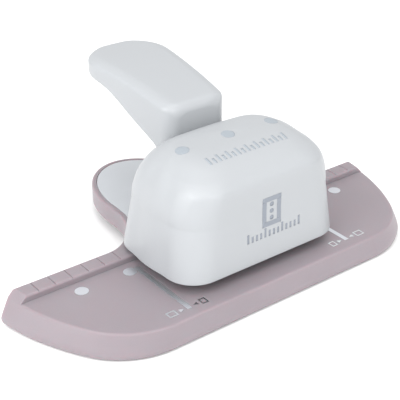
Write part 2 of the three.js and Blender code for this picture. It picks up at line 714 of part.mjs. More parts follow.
// Steel arm: a hub on the pivot pin, a pressing nose over the row, and a tongue up into the handle
function leverArm() {
  const web = new THREE.Shape();
  web.moveTo(PIVOT.y, PIVOT.z - 3);
  web.lineTo(-6, 31);
  web.lineTo(NOSE.y - NOSE_R, 33.2);
  web.lineTo(NOSE.y - NOSE_R, NOSE.z);
  web.absarc(NOSE.y, NOSE.z, NOSE_R, Math.PI, 2 * Math.PI, false);
  web.lineTo(NOSE.y + NOSE_R, 33.2);
  web.lineTo(14.9, 33.2);
  web.lineTo(14.9, 41.3);
  web.lineTo(19.6, 45.5);
  web.lineTo(37.2, 54);
  web.lineTo(37.2, 56.6);
  web.lineTo(20, 51);
  web.lineTo(15.6, 45);
  web.lineTo(12, 43.6);
  web.lineTo(8, 41);
  web.lineTo(2, 40.2);
  web.lineTo(PIVOT.y + 1, PIVOT.z + HUB_R - 0.4);
  web.lineTo(PIVOT.y - 2, PIVOT.z + 3);
  const hub = cylinderX(PIVOT.y, PIVOT.z, HUB_R, -HUB_HALF, HUB_HALF);
  const bore = cylinderX(PIVOT.y, PIVOT.z, PIVOT_PIN_R + GAP, -40, 40);
  let arm = prismX(web, -ARM_HALF, ARM_HALF, 6).add(hub).subtract(bore);
  for (const { y, seat, tip } of Object.values(HANDLE_SCREWS)) {
    arm = arm.subtract(cylinderZ(0, y, SCREW_HOLE_R, seat - 1, tip, 16));
    arm = arm.subtract(cylinderZ(0, y, SCREW_HEAD_R + GAP, seat - 8, seat, 16));
  }
  return arm;
}

// ---------------------------------------------------------------------------------------------------------
// Screws and feet
// ---------------------------------------------------------------------------------------------------------

function panScrew(x, y, seat, tip) {
  const headTop = seat - SCREW_SEATING;
  const headBottom = headTop - SCREW_HEAD_THICKNESS;
  return turned([
    [0, headBottom],
    [SCREW_HEAD_R - 0.5, headBottom],
    [SCREW_HEAD_R, headBottom + 0.6],
    [SCREW_HEAD_R, headTop],
    [SCREW_SHANK_R, headTop],
    [SCREW_SHANK_R, tip - 1],
    [0, tip],
  ], x, y, 12);
}

function dieScrew(x) {
  const { y, headR, shankR } = DIE_SCREW;
  const headTop = BED_Z - 0.05;
  const seat = BED_Z - DIE.thickness;
  return turned([
    [0, 4.6],
    [shankR, 5.2],
    [shankR, seat],
    [headR, seat],
    [headR, headTop],
    [0, headTop],
  ], x, y, 12);
}

function foot(x, y, r) {
  return turned([[0, 0], [r - 0.5, 0], [r, 0.5], [r, FOOT.height], [0, FOOT.height]], x, y, 16);
}

// ---------------------------------------------------------------------------------------------------------
// Assembly
// ---------------------------------------------------------------------------------------------------------

add('base_shell', 'basePlastic', baseShell());
add('tail_pad', 'padPlastic', prismZ(tailPadShape(PAD.rim, PAD.front), PAD.bottom, FENCE_Z, PAD.steps));
add('die_plate', 'steel', diePlate());
add('punch_frame', 'zincPlate', punchFrame());
add('head_cover', 'coverPlastic', headCover());
add('pivot_pin', 'steel', pivotPin());
add('pivot_clip_left', 'steel', pivotClip(-1));
add('pivot_clip_right', 'steel', pivotClip(1));

for (const [side, sign] of [['left', -1], ['right', 1]]) {
  add(`head_screw_${side}`, 'steel', panScrew(sign * HEAD_SCREW_X, SCREW_Y, CAVITY_Z, 27));
  add(`frame_screw_${side}`, 'steel', panScrew(sign * FRAME_SCREW_X, SCREW_Y, CAVITY_Z, 14.6));
  add(`die_screw_${side}`, 'steel', dieScrew(sign * DIE_SCREW.x));
}
for (const [name, { y, seat, tip }] of Object.entries(HANDLE_SCREWS)) {
  add(name, 'steel', panScrew(0, y, seat, tip));
}
for (const [name, [x, y]] of Object.entries(FEET)) {
  add(name, 'rubber', foot(x, y, FOOT.r));
}
add('foot_tail', 'rubber', foot(0, TAIL_FOOT.y, TAIL_FOOT.r));

['left', 'centre', 'right'].forEach((place, i) => {
  add(`punch_${place}`, 'steel', punch(HOLE_X[i]));
  add(`punch_spring_${place}`, 'springWire', returnSpring(HOLE_X[i]));
});
add('press_bar', 'zincPlate', pressBar());
add('lever_arm', 'zincPlate', leverArm());
add('lever_handle', 'coverPlastic', leverHandle());
add('chip_lid', 'lidPlastic', chipLid());

export default part;
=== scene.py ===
"""The looks of a three-hole punch for planner pages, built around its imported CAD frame.

Shapes are drawn in millimetres from the hole row: x = 0 at the middle hole, y = 0 on the row, z = 0 on the
table. settle() moves each finished piece into the frame, in metres.
"""

import math

import bmesh
import bpy
from mathutils import Matrix, Vector
from mathutils.bvhtree import BVHTree


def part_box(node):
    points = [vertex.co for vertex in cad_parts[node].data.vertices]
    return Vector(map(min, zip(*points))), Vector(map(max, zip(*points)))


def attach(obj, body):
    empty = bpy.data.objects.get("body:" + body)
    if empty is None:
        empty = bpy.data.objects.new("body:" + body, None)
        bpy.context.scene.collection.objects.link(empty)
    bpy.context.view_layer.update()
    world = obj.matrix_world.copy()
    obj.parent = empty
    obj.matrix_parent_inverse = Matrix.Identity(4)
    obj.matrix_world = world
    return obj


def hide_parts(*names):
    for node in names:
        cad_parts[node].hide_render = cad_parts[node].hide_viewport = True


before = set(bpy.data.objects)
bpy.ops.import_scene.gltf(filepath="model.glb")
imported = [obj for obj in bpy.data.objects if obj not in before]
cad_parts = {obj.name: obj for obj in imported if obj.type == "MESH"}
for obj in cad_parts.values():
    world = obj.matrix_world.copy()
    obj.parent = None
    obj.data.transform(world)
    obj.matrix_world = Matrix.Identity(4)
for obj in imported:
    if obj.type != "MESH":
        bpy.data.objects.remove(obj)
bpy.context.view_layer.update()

MM = 0.001
ROW_Y = sum(corner.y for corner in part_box("punch_centre")) / 2
BED_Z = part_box("die_plate")[1].z / MM
FENCE_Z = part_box("tail_pad")[1].z / MM
TAIL_TIP_Y = (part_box("base_shell")[1].y - ROW_Y) / MM

# ---------------------------------------------------------------------------------------------------------
# Driving dimensions, in millimetres
# ---------------------------------------------------------------------------------------------------------

HOLE_PITCH = 19.05
GAP = 0.3

# Where cutting tools start and end: under the table, over the base, and clear of it all round
UNDER_Z = -1
OVER_Z = 20
CLEAR_XY = 95

# Base outline: a straight front, a corner, a long arc as the end of each wing, the fence, the neck and the
# tail. The neck bends towards two points; the tail's entries are (how much wider than the tail, y).
FRONT_Y = -33.7
CORNER_X = 43
CORNER_R = 27.4
CORNER_SWEEP = math.radians(57.8)
END_R = 81
WAIST_Y = -10
FENCE_Y = 5.2
FENCE_BACK_Y = 11.7
NECK_X = 39
NECK_BEND = ((31.5, FENCE_BACK_Y), (23, 21))
TAIL_HALF = 21.4
TAIL_ENTRY = ((0.4, 31), (0.2, 34), (0.05, 36.5))
TAIL_ARC_Y = 39

# Flank: how far each stretch of the outline stands out where it bulges most, and the hollow inside it
SKIRT_Z = 0.5
BULGE_Z = 3
TAIL_SKIRT_Z = 4.9
CAVITY_Z = 6.9
BASE_WALL = 2.2
FLARE = {"end": 3.5, "front": 1.15, "back": -0.7, "tail": 0}
FLANK_CURVE = 1.1
CAVITY_TOP = {"end": 1.4, "front": 0.5, "back": 0, "tail": 0}
BOTTOM_TUCK = 1
BASE_LEVELS = (
    SKIRT_Z, 0.54, 0.7, 1.0, 1.5, 2.2, BULGE_Z, 4, 5, 6, 7, 8, 9, BED_Z, 10.2, 11.0,
    11.25, 11.5, 11.7, 11.83, FENCE_Z,
)

# Fence, rim of the bed, and the scale grooves, which are counted from the middle of the base
FENCE_END_SLOPE = 0.95
FENCE_ROUND = 0.9
FENCE_END_ROUND = 0.3
FENCE_EDGE_R = 1
RIM_ROLL = 0.8
RIM_DROP = 0.55
TRAY_REACH = 3
GROOVE_DEPTH = 0.5
GROOVE_PITCH = HOLE_PITCH / 3
GROOVES = range(6, 12)

# Chip well, its lid's channel, and the holes
WELL_BACK_Y = 14.5
LID_CHANNEL = {"half": 31.3, "bottom": 1.5, "top": 3.3, "past_well": 4}
WELL = {"half": 29.4, "front": -20, "back": 12.6}
NECK_WALL_REACH = 6
SCREW_Y = 9.4
SCREW_XS = (-21, -9, 9, 21)
SCREW_HOLE_R = 1.75
DIE_SCREW_HOLE_R = 1.5
CHIP_HOLE_R = 3.75
FOOT_BOSS_WALL = 1
FEET = ("foot_front_left", "foot_front_right", "foot_rear_left", "foot_rear_right", "foot_tail")

# Tail pad; each level is (height, how far the edge has gone in)
PAD = {"rim": 2, "front": 22, "bottom": 10.7, "corner": 3, "flare": 1.4, "waist": 31}
PAD_GAP = 0.15
PAD_LEVELS = (
    (PAD["bottom"], 0), (11.5, 0), (11.68, 0.05), (11.8, 0.15), (11.87, 0.28), (FENCE_Z, 0.45),
)

# Head cover: its plan at the foot, the drafts up to the shoulder, and how far each side then goes in up to
# the crown
HEAD_BOTTOM_Z = 13.5
HEAD = {
    "half": 34.6, "front": -27.35, "rear": 16.65, "corner": 11,
    "side_draft": 1.9, "front_draft": 0.87, "rear_draft": 2.05, "corner_growth": 1.55,
    "shoulder_z": 31.95, "rise": 19.3, "side": 15.1, "front_in": 19.7, "rear_in": 11.4,
    "ridge": 0.2, "ridge_ease": 0.06, "crown_corner": 0.46, "dome": 0.4, "bow": 0.8,
}
HEAD_WALL = 2.2
HEAD_SLOT = {"half": 14, "bottom": 16.5, "top": 45, "corner": 1.2, "front": 4, "back": 30}
HEAD_BOSS = {"r": 3.4, "top": 30, "rib_half": 1, "rib_drop": 3, "hole_drop": 2}

# The hem at the head's foot: (height above the foot, how far it is tucked in)
HEAD_HEM = ((0, 0.5), (0.07, 0.27), (0.22, 0.1), (0.5, 0))

# How much of a move inward, and of a tuck, comes off the radius of the head's corners
CORNER_INSET = 0.8
CORNER_TUCK = 0.5

# The head's roof: its rings, and the share of the way up from which they are evened out
ROOF_STEPS = 40
EVEN_FROM = 0.55
EVEN_PASSES = 16
CROWN_SHARES = (0.93, 0.84, 0.72, 0.58, 0.42, 0.26, 0.1)

# Lever handle, at rest; it stands a little aside by the play of its pivot
HANDLE_FRONT_Y = 12.9
HANDLE_BACK_Y = 69.4
HANDLE_FRONT_HALF = 12.5
HANDLE_BACK_HALF = 16.05
HANDLE_TURN_Y = 54
HANDLE_TOP = {"z": 56.95, "slope": 0.2, "fall": 0.00197}
HANDLE_WALL = 2.2
HANDLE_END_R = 3
END_DROOP = 0.85
END_BEND = {"swell": 1, "y": 63.5, "flat_half": 10}
FRONT_ROUND = 3
FOOT_LIFT = 0.3
FRONT_CORNER_R = 4.8
SOFT_EDGE_R = 9
TIGHT_EDGE_R = 1.6
LOWER_EDGE_R = 0.5
EDGE_TURN = math.radians(63)
PIVOT_Y = -13
SIDE_PLAY = math.radians(1.3)
SIDE_SHIFT = 0.3

# Side view of the handle's underside, from the foot of its limb to its rear tip
UNDERSIDE = (
    (15.6, 30.62), (16.6, 30.75), (17.5, 31.15), (18.1, 31.7), (18.35, 32.6), (18.45, 34.5),
    (18.5, 36), (18.65, 37.5), (19.1, 38.8), (20, 40.1), (21.2, 41.2), (25.1, 43), (30.7, 45.4),
    (35.9, 47.8), (40.5, 50.2), (44.6, 52.1), (48.2, 53.4), (51.8, 54.3), (55.9, 54.9), (61, 55.6),
    (65.5, 56.3), (68, 57.3), (HANDLE_BACK_Y, 58.7),
)
LIMB_BACK_Y = 20
LIMB_STEP = 0.35
HANDLE_STEP = 1.5

# Side view of the handle's hollow, the window for the tongue, and the rib behind it
HANDLE_HOLLOW = (
    (15.1, 45.4), (15.1, 53.4), (16.6, 55.2), (34, 58.2), (48, 59.5), (60, 59.9), (66, 59.6), (67.5, 58.8),
    (67.5, 50), (40, 34), (22.8, 34), (22.8, 45), (20, 45), (15.4, 41), (15.4, 32.8), (15, 32.8),
)
TONGUE_WINDOW = {"half": 7.1, "front": 8, "back": 15.6, "low": 32.8, "high": 45.4}
HANDLE_RIB = {"half": 20, "front": 42, "back": 43.6, "low": 55.5, "high": 61}

# Foil and printed marks
MARK_PROUD = 0.03
MARK_SUNK = 0.05
INK_START = 80
SPOT_R = 2.35
LINE_X = 34.9
LINE_HALF = 0.85
LINE_FRONT_Y = -29.4
LINE_BACK_Y = 1.1
LABEL_Y = -28.6
LABEL = {
    "outer": 3.4, "inner": 2.4, "high": 2.9, "line": 0.42,
    "from_line": 1.9, "arrow": 1.7, "arrow_half": 0.8, "from_arrow": 1.2,
}
HEAD_SPOT_Y = -4.5
HEAD_SPOT_R = 2.4
HEAD_SCALE = {"half": 16, "pitch": 2, "low": -16.2, "tall": 3.4, "short": 2.2, "wide": 0.85}
EMBLEM = {"x": 1.1, "z": 31.6, "wide": 8, "high": 10.8, "line": 1.7, "dot": 0.85, "pitch": 2.5}
RULE = {"first": -9, "count": 13, "pitch": 1.85, "low": 22.4, "tall": 3.4, "short": 2.2, "wide": 0.8}

# ---------------------------------------------------------------------------------------------------------
# Mesh helpers
# ---------------------------------------------------------------------------------------------------------


def make(name, points, faces):
    """A new object from a list of points and faces, its normals turned outward."""
    mesh = bpy.data.meshes.new(name)
    mesh.from_pydata([tuple(p) for p in points], [], faces)
    bm = bmesh.new()
    bm.from_mesh(mesh)
    bmesh.ops.recalc_face_normals(bm, faces=bm.faces)
    bm.to_mesh(mesh)
    bm.free()
    obj = bpy.data.objects.new(name, mesh)
    bpy.context.scene.collection.objects.link(obj)
    return obj


def loft(name, rings):
    """A skin over rings of equal point count, closed by a flat face at each end."""
    count = len(rings[0])
    points = [p for ring in rings for p in ring]
    faces = []
    for level in range(len(rings) - 1):
        for i in range(count):
            j = (i + 1) % count
            low, high = level * count, (level + 1) * count
            faces.append((low + i, low + j, high + j, high + i))
    faces.append(tuple(reversed(range(count))))
    last = (len(rings) - 1) * count
    faces.append(tuple(last + i for i in range(count)))
    return make(name, points, faces)


def prism(outline, low, high, axis="z"):
    """An outline pulled along an axis. The outline's two numbers are the other two axes, in x, y, z order."""
    place = {
        "x": lambda a, b, c: (c, a, b),
        "y": lambda a, b, c: (a, c, b),
        "z": lambda a, b, c: (a, b, c),
    }[axis]
    return loft("prism", [[place(a, b, c) for a, b in outline] for c in (low, high)])


def oblong(x0, x1, y0, y1):
    return [(x0, y0), (x1, y0), (x1, y1), (x0, y1)]


def box(x0, x1, y0, y1, z0, z1):
    return prism(oblong(x0, x1, y0, y1), z0, z1)


def arc(x, y, r, start, end, steps, ry=None):
    """Points on an arc, or on a piece of an ellipse when ry is given."""
    ry = r if ry is None else ry
    angles = [start + (end - start) * i / steps for i in range(steps + 1)]
    return [(x + r * math.cos(a), y + ry * math.sin(a)) for a in angles]


def bezier(a, b, c, d, steps):
    points = []
    for i in range(steps + 1):
        t = i / steps
        weights = ((1 - t) ** 3, 3 * t * (1 - t) ** 2, 3 * t * t * (1 - t), t ** 3)
        points.append(tuple(sum(w * p[k] for w, p in zip(weights, (a, b, c, d))) for k in (0, 1)))
    return points


def bend(a, b, c, steps):
    """A curve from a to c that leaves and arrives towards b."""
    points = []
    for i in range(steps + 1):
        t = i / steps
        weights = ((1 - t) ** 2, 2 * t * (1 - t), t * t)
        points.append(tuple(sum(w * p[k] for w, p in zip(weights, (a, b, c))) for k in (0, 1)))
    return points


def circle(x, y, r, steps):
    return arc(x, y, r, 0, 2 * math.pi * (1 - 1 / steps), steps - 1)


def disc(x, y, r, low, high):
    return prism(circle(x, y, r, 32), low, high)


def middle_of(name):
    """The middle of a CAD node as seen from above, in millimetres from the hole row."""
    low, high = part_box(name)
    return (low.x + high.x) / 2 / MM, ((low.y + high.y) / 2 - ROW_Y) / MM


def combine(target, tool, operation="DIFFERENCE"):
    """Carves the tool out of the target, adds it, or keeps what they share. The tool is used up."""
    modifier = target.modifiers.new("combine", "BOOLEAN")
    modifier.operation = operation
    modifier.solver = "MANIFOLD"
    modifier.object = tool
    graph = bpy.context.evaluated_depsgraph_get()
    mesh = bpy.data.meshes.new_from_object(target.evaluated_get(graph))
    target.modifiers.clear()
    old = target.data
    target.data = mesh
    bpy.data.meshes.remove(old)
    bpy.data.objects.remove(tool)
    return target


def settle(obj, name, material, body, replaced=(), crease=32):
    """Moves a finished piece into the frame, smooths it up to the crease angle, and dresses it."""
    obj.name = name
    obj.data.name = name
    obj.data.transform(Matrix.Scale(MM, 4) @ Matrix.Translation((0, ROW_Y / MM, 0)))
    for polygon in obj.data.polygons:
        polygon.use_smooth = True
    obj.data.set_sharp_from_angle(angle=math.radians(crease))
    weighted = obj.modifiers.new("weighted normals", "WEIGHTED_NORMAL")
    weighted.keep_sharp = True
    obj.data.materials.clear()
    obj.data.materials.append(material)
    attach(obj, body)
    if replaced:
        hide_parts(*replaced)


# ---------------------------------------------------------------------------------------------------------
# Materials
# ---------------------------------------------------------------------------------------------------------

# Scales of the noise in every material, in changes per metre
SLOW_CHANGE = 35
MIDDLE_CHANGE = 140
FINE_CHANGE = 2500


def surface(name, colour, rough, metallic=0.0, vary=0.03, grain=FINE_CHANGE, bump=0.02, glow=None):
    """A shader with slow and fine colour variation, uneven roughness and a fine grain in its bump.

    Glow is the weight, the radius of each colour and the depth in metres of the light that passes inside.
    """
    material = bpy.data.materials.new(name)
    material.use_nodes = True
    nodes, links = material.node_tree.nodes, material.node_tree.links
    shader = nodes["Principled BSDF"]
    shader.inputs["Metallic"].default_value = metallic
    shader.inputs["Specular IOR Level"].default_value = 0.5
    if glow:
        weight, radius, scale = glow
        shader.inputs["Subsurface Weight"].default_value = weight
        shader.inputs["Subsurface Radius"].default_value = radius
        shader.inputs["Subsurface Scale"].default_value = scale
    where = nodes.new("ShaderNodeTexCoord").outputs["Object"]

    def noise(scale, detail):
        node = nodes.new("ShaderNodeTexNoise")
        node.inputs["Scale"].default_value = scale
        node.inputs["Detail"].default_value = detail
        links.new(where, node.inputs["Vector"])
        return node.outputs["Fac"]

    def between(value, low, high):
        """Spreads a noise, which mostly lies between a quarter and three quarters, from low to high."""
        node = nodes.new("ShaderNodeMapRange")
        node.inputs["From Min"].default_value = 0.25
        node.inputs["From Max"].default_value = 0.75
        node.inputs["To Min"].default_value = low
        node.inputs["To Max"].default_value = high
        links.new(value, node.inputs["Value"])
        return node.outputs["Result"]

    ramp = nodes.new("ShaderNodeValToRGB")
    ramp.color_ramp.elements[0].position = 0.3
    ramp.color_ramp.elements[1].position = 0.7
    ramp.color_ramp.elements[0].color = (*[c * (1 - vary) for c in colour], 1)
    ramp.color_ramp.elements[1].color = (*[min(1, c * (1 + vary)) for c in colour], 1)
    mixed = nodes.new("ShaderNodeMath")
    mixed.operation = "ADD"
    links.new(between(noise(SLOW_CHANGE, 3), 0.15, 0.65), mixed.inputs[0])
    links.new(between(noise(grain, 2), 0.0, 0.25), mixed.inputs[1])
    links.new(mixed.outputs[0], ramp.inputs["Fac"])
    links.new(ramp.outputs["Color"], shader.inputs["Base Color"])
    uneven = between(noise(MIDDLE_CHANGE, 4), rough * 0.95, rough * 1.05)
    links.new(uneven, shader.inputs["Roughness"])
    relief = nodes.new("ShaderNodeBump")
    relief.inputs["Strength"].default_value = bump
    relief.inputs["Distance"].default_value = 0.0001
    links.new(noise(grain, 3), relief.inputs["Height"])
    links.new(relief.outputs["Normal"], shader.inputs["Normal"])
    return material


BASE_GLOW = (0.5, (1, 0.4, 0.45), 0.004)
BASE_PLASTIC = surface("base_plastic", (0.281, 0.244, 0.267), 0.42, bump=0.12, vary=0.025, glow=BASE_GLOW)
COVER_PLASTIC = surface("cover_plastic", (0.395, 0.41, 0.427), 0.34, bump=0.012, vary=0.008)
PAD_PLASTIC = surface("pad_plastic", (0.505, 0.525, 0.552), 0.5, bump=0.15, vary=0.02)
LID_PLASTIC = surface("lid_plastic", (0.72, 0.73, 0.75), 0.45, bump=0.05)
STEEL = surface("steel", (0.56, 0.57, 0.58), 0.32, metallic=1.0, bump=0.1)
ZINC = surface("zinc_plate", (0.62, 0.63, 0.62), 0.38, metallic=1.0, bump=0.15, grain=900)
SPRING_WIRE = surface("spring_wire", (0.5, 0.51, 0.53), 0.28, metallic=1.0, bump=0.05)
RUBBER = surface("rubber", (0.055, 0.05, 0.052), 0.85, bump=0.3, vary=0.1)
FOIL = surface("foil", (0.74, 0.76, 0.81), 0.33, metallic=0.8, bump=0.02, vary=0.02)
LABEL_FOIL = surface("label_foil", (0.88, 0.89, 0.92), 0.16, metallic=1.0, bump=0.01, vary=0.02)
HEAD_INK = surface("head_ink", (0.315, 0.35, 0.385), 0.36, vary=0.02, bump=0.01)
EMBLEM_INK = surface("emblem_ink", (0.232, 0.254, 0.291), 0.36, vary=0.02, bump=0.01)

# ---------------------------------------------------------------------------------------------------------
# Base shell and tail pad
# ---------------------------------------------------------------------------------------------------------


def base_half():
    """Right half of the outline, from the front edge round to the tip of the tail, in two stretches."""
    turn = -math.pi / 2 + CORNER_SWEEP
    corner = Vector((CORNER_X, FRONT_Y + CORNER_R))
    end = corner + Vector((math.cos(turn), math.sin(turn))) * (CORNER_R - END_R)
    end_turn = math.asin((FENCE_BACK_Y - end.y) / END_R)
    wing = [(CORNER_X * i / 8, FRONT_Y) for i in range(1, 8)]
    wing += arc(corner.x, corner.y, CORNER_R, -math.pi / 2, turn, 26)
    wing += arc(end.x, end.y, END_R, turn, end_turn, 22)[1:]
    tip_x = wing[-1][0]
    tail = [(tip_x + (NECK_X - tip_x) * i / 8, FENCE_BACK_Y) for i in range(1, 8)]
    entry = [(TAIL_HALF + wider, y) for wider, y in TAIL_ENTRY]
    tail += bezier((NECK_X, FENCE_BACK_Y), *NECK_BEND, entry[0], 22) + entry[1:]
    tail += arc(0, TAIL_ARC_Y, TAIL_HALF, 0, math.pi / 2, 26, TAIL_TIP_Y - TAIL_ARC_Y)
    return wing, tail


WING, TAIL = base_half()
HALF_LENGTH = WING[-1][0]


def base_ring(z, offsets):
    """The outline at height z, with each stretch of it moved out by its own amount."""
    right = []
    for x, y in WING:
        if y < WAIST_Y:
            depth = -offsets["front"] * (WAIST_Y - y) / (WAIST_Y - FRONT_Y)
        else:
            depth = offsets["back"] * (y - WAIST_Y) / (FENCE_BACK_Y - WAIST_Y)
        right.append((x * (1 + offsets["end"] / HALF_LENGTH), y + depth, z))
    for x, y in TAIL:
        share = min(1, max(0, (y - FENCE_BACK_Y) / (TAIL_ARC_Y - FENCE_BACK_Y)))
        along = (x - NECK_X) / (HALF_LENGTH - NECK_X) if x > NECK_X and y < FENCE_BACK_Y + 0.01 else 0
        out_x = x * (1 + share * offsets["tail"] / TAIL_HALF + along * offsets["end"] / HALF_LENGTH)
        if y > TAIL_ARC_Y:
            out_y = TAIL_ARC_Y + (y - TAIL_ARC_Y) * (1 + offsets["tail"] / (TAIL_TIP_Y - TAIL_ARC_Y))
        else:
            out_y = y + (1 - share) * offsets["back"]
        right.append((out_x, out_y, z))
    left = [(-x, y, z) for x, y, z in reversed(right[:-1])]
    middle = [(0, FRONT_Y - offsets["front"], z)]
    return middle + right + left


def moved(offsets, by):
    return {stretch: value + by for stretch, value in offsets.items()}


def flank(z):
    """How far each stretch of the outline stands out at height z."""
    if z <= BULGE_Z:
        u = (BULGE_Z - z) / (BULGE_Z - SKIRT_Z)
        return moved(FLARE, -BOTTOM_TUCK * (1 - math.sqrt(max(0, 1 - u * u))))
    if z <= BED_Z:
        share = 1 - ((z - BULGE_Z) / (BED_Z - BULGE_Z)) ** FLANK_CURVE
        return {stretch: value * share for stretch, value in FLARE.items()}
    u = max(0, (z - (FENCE_Z - FENCE_ROUND)) / FENCE_ROUND)
    taken = FENCE_ROUND * (1 - math.sqrt(max(0, 1 - u * u)))
    end = -FENCE_END_SLOPE * (z - BED_Z) - FENCE_END_ROUND * taken
    return {"end": end, "front": 0, "back": -taken, "tail": -taken}


def bed_tray():
    """A closed tray whose underside is the paper bed, with its rim rolled over onto the flank."""
    rings = []
    for step in range(9):
        angle = math.radians(90 * step / 8)
        drop, inset = RIM_DROP * (1 - math.cos(angle)), RIM_ROLL * (1 - math.sin(angle))
        rings.append(base_ring(BED_Z - drop, moved(flank(BED_Z - drop), 0.01 - inset)))
    low = BED_Z - RIM_DROP
    for z, out in ((low - 0.2, 0.3), (low - 0.8, TRAY_REACH), (FENCE_Z + 4, TRAY_REACH)):
        rings.append(base_ring(z, moved(flank(low), out)))
    return loft("tray", rings)


def fence_profile():
    """Side view of the space ahead of the fence; the fence's top edge is rounded over."""
    edge = arc(FENCE_Y + FENCE_EDGE_R, FENCE_Z - FENCE_EDGE_R, FENCE_EDGE_R, math.pi, math.pi / 2, 8)
    back = FENCE_Y + FENCE_EDGE_R
    return [(-CLEAR_XY, 0), (FENCE_Y, 0)] + edge + [(back, OVER_Z), (-CLEAR_XY, OVER_Z)]


def pad_outline(inset):
    """The pad on the tail: a straight front edge, a waist, and a rounded end."""
    half = TAIL_HALF - PAD["rim"] - inset
    side = TAIL_HALF - PAD["rim"] + PAD["flare"] - inset
    front = PAD["front"] + inset
    corner = PAD["corner"]
    reach = TAIL_TIP_Y - TAIL_ARC_Y - PAD["rim"] - inset
    right = [(side - corner, front)]
    right += bend((side - corner, front), (side, front), (side, front + corner), 6)[1:]
    right += bend((side, front + corner), (half, PAD["waist"]), (half, TAIL_ARC_Y), 12)[1:]
    right += arc(0, TAIL_ARC_Y, half, 0, math.pi / 2, 28, reach)[1:]
    return right + [(-x, y) for x, y in reversed(right[:-1])]


def underside():
    """What is hollow below: both wings and the tail, with the walls that stand between them."""
    hollow = loft("hollow", [
        base_ring(UNDER_Z, moved(FLARE, -BOTTOM_TUCK - BASE_WALL)),
        base_ring(BULGE_Z, moved(FLARE, -BASE_WALL)),
        base_ring(CAVITY_Z, moved(CAVITY_TOP, -BASE_WALL)),
    ])
    rib = LID_CHANNEL["half"] + BASE_WALL
    combine(hollow, box(-rib, rib, -CLEAR_XY, WELL_BACK_Y, UNDER_Z - 1, OVER_Z))
    neck = NECK_X + NECK_WALL_REACH
    return combine(hollow, box(-neck, neck, FENCE_BACK_Y - BASE_WALL, WELL_BACK_Y, UNDER_Z - 1, OVER_Z))


def base_shell():
    shell = loft("base", [base_ring(z, flank(z)) for z in BASE_LEVELS])
    combine(shell, combine(bed_tray(), prism(fence_profile(), -CLEAR_XY, CLEAR_XY, "x"), "INTERSECT"))
    d = GROOVE_DEPTH
    for k in GROOVES:
        for x in (-k * GROOVE_PITCH, k * GROOVE_PITCH):
            groove = [(x, FENCE_Z - d), (x + d, FENCE_Z + d), (x - d, FENCE_Z + d)]
            combine(shell, prism(groove, FENCE_Y - 1, FENCE_BACK_Y + 2, "y"))
    combine(shell, box(-CLEAR_XY, CLEAR_XY, WELL_BACK_Y, CLEAR_XY, UNDER_Z, TAIL_SKIRT_Z))
    combine(shell, underside())

    channel = LID_CHANNEL["half"]
    bottom, top, exit_y = LID_CHANNEL["bottom"], LID_CHANNEL["top"], WELL_BACK_Y + LID_CHANNEL["past_well"]
    well, front = WELL["half"], WELL["front"]
    combine(shell, box(-well, well, front, WELL["back"], UNDER_Z, CAVITY_Z))
    combine(shell, box(-well, well, front, exit_y, UNDER_Z, top))
    combine(shell, box(-channel, channel, front - GAP, exit_y, bottom, top))

    combine(shell, prism(pad_outline(-PAD_GAP), PAD["bottom"] - PAD_GAP, FENCE_Z + 2))
    low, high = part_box("die_plate")
    y0, y1 = (low.y - ROW_Y) / MM - GAP, (high.y - ROW_Y) / MM + GAP
    combine(shell, box(low.x / MM - GAP, high.x / MM + GAP, y0, y1, low.z / MM - GAP, BED_Z + 2))

    for x in (-HOLE_PITCH, 0, HOLE_PITCH):
        combine(shell, disc(x, 0, CHIP_HOLE_R, CAVITY_Z - 1, BED_Z))
    for x in SCREW_XS:
        combine(shell, disc(x, SCREW_Y, SCREW_HOLE_R, CAVITY_Z - 1, FENCE_Z + 1))
    for name in ("die_screw_left", "die_screw_right"):
        combine(shell, disc(*middle_of(name), DIE_SCREW_HOLE_R, CAVITY_Z - 1, BED_Z))
    for name in FEET:
        low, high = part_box(name)
        radius = (high.x - low.x) / 2 / MM + FOOT_BOSS_WALL
        combine(shell, disc(*middle_of(name), radius, high.z / MM + GAP, CAVITY_Z + 0.5), "UNION")
    return shell


settle(base_shell(), "base_shell_skin", BASE_PLASTIC, "base", ["base_shell"])

pad = loft("pad", [[(x, y, z) for x, y in pad_outline(inset)] for z, inset in PAD_LEVELS])
settle(pad, "tail_pad_skin", PAD_PLASTIC, "base", ["tail_pad"])

# ---------------------------------------------------------------------------------------------------------
# Head cover
# ---------------------------------------------------------------------------------------------------------


def head_ring(z, half, front, rear, radius, bow):
    """A rounded rectangle whose two ends and back swell a little in the middle."""
    corners = [
        (half - radius, front + radius, -90, (1, 0), bow),
        (half - radius, rear - radius, 0, (0, 1), bow),
        (radius - half, rear - radius, 90, (-1, 0), bow),
        (radius - half, front + radius, 180, (0, -1), 0),
    ]
    ring = []
    for k, (x, y, start, out, swell) in enumerate(corners):
        turn = arc(x, y, radius, math.radians(start), math.radians(start + 90), 14)
        following = corners[(k + 1) % 4]
        begin = turn[-1]
        stop = (following[0] + radius * out[0], following[1] + radius * out[1])
        ring += turn
        for step in range(1, 12):
            t = step / 12
            push = swell * math.sin(math.pi * t) ** 2
            ring.append((
                begin[0] + (stop[0] - begin[0]) * t + push * out[0],
                begin[1] + (stop[1] - begin[1]) * t + push * out[1],
            ))
    return [(x, y, z) for x, y in ring]


def roof_run(c):
    """How far the front has gone back, from 0 at the shoulder to 1 at the crown. It turns at the ridge."""
    def eased(share):
        v = (share - HEAD["ridge"]) / (1 - HEAD["ridge"])
        return (v + math.sqrt(v * v + HEAD["ridge_ease"] ** 2)) / 2

    return (eased(c) - eased(0)) / (eased(1) - eased(0))


def softened(rings, first, passes):
    """The same rings with their points evened out from ring number first upward."""
    for _ in range(passes):
        was = [list(ring) for ring in rings]
        for k in range(first, len(rings) - 1):
            count = len(was[k])
            for i in range(count):
                near = (was[k - 1][i], was[k + 1][i], was[k][i - 1], was[k][(i + 1) % count])
                rings[k][i] = tuple(0.5 * was[k][i][a] + 0.125 * sum(p[a] for p in near) for a in range(3))
    return rings


